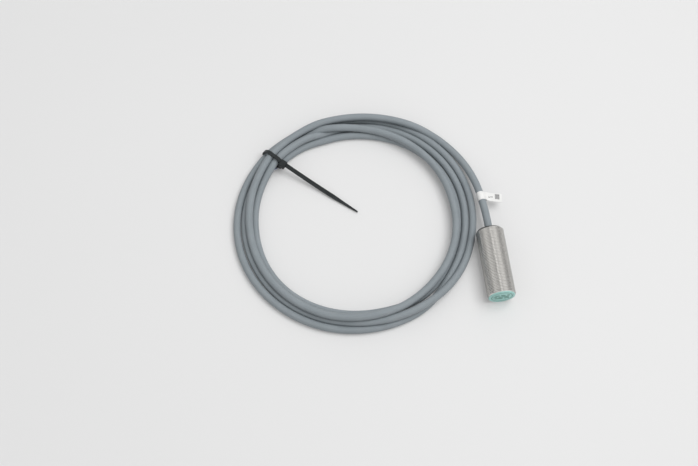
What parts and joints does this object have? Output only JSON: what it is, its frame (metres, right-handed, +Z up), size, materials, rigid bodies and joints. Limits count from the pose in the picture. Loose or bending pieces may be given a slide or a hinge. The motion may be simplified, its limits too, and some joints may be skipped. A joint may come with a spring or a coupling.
{
  "type": "proximity sensor",
  "caption": "Cylindrical proximity sensor: threaded metal barrel with a flush green sensing cap, and a fixed grey cable wound in a flat coil with a tie.",
  "frame": {"origin": "on the surface that the part lies on, under the middle of the barrel", "axes": "+Y along the barrel's axis from the sensing face to the cable end, +Z up, the cable's coil towards -X"},
  "size_m": [0.1788, 0.1592, 0.018],
  "materials": {
    "barrel_metal": "turned, bright nickel look",
    "cap_plastic": "satin moulded",
    "seal_rubber": "smooth",
    "copper": "drawn",
    "ferrite": "sintered",
    "bobbin_plastic": "moulded",
    "winding_wire": "enamelled wire",
    "spacer_foam": "foam",
    "board_laminate": "solder mask",
    "chip_plastic": "moulded epoxy",
    "capacitor_ceramic": "fired",
    "resistor_ceramic": "fired",
    "led_lens": "clear moulded",
    "solder": "reflowed",
    "sleeve_plastic": "extruded film",
    "core_brown": "extruded",
    "core_blue": "extruded",
    "core_black": "extruded",
    "cable_jacket": "extruded, slight sheen",
    "resin": "cast",
    "brass": "turned",
    "plug_plastic": "moulded",
    "grommet_rubber": "moulded",
    "tie_nylon": "moulded nylon",
    "label_paper": "printed"
  },
  "bodies": {
    "root": {"threaded_barrel": "barrel_metal", "sensing_cap": "cap_plastic", "cap_seal_ring": "seal_rubber", "shield_ring": "copper", "ferrite_core": "ferrite", "coil_bobbin": "bobbin_plastic", "coil_winding": "winding_wire", "coil_leads": "winding_wire", "core_spacer": "spacer_foam", "circuit_board": "board_laminate", "sensor_chip": "chip_plastic", "output_transistor": "chip_plastic", "protection_diode": "chip_plastic", "capacitors": "capacitor_ceramic", "resistors": "resistor_ceramic", "indicator_led": "led_lens", "solder_joints": "solder", "board_sleeve": "sleeve_plastic", "core_brown": "core_brown", "core_blue": "core_blue", "core_black": "core_black", "jacket_end": "cable_jacket", "resin_plug": "resin", "pull_stop_ring": "brass", "rear_plug": "plug_plastic", "plug_seal_ring": "seal_rubber", "cable_grommet": "grommet_rubber", "cable_lead": "cable_jacket", "cable_coil": "cable_jacket", "end_core_brown": "core_brown", "end_core_blue": "core_blue", "end_core_black": "core_black", "cable_tie": "tie_nylon", "flag_label": "label_paper"}
  },
  "joints": []
}
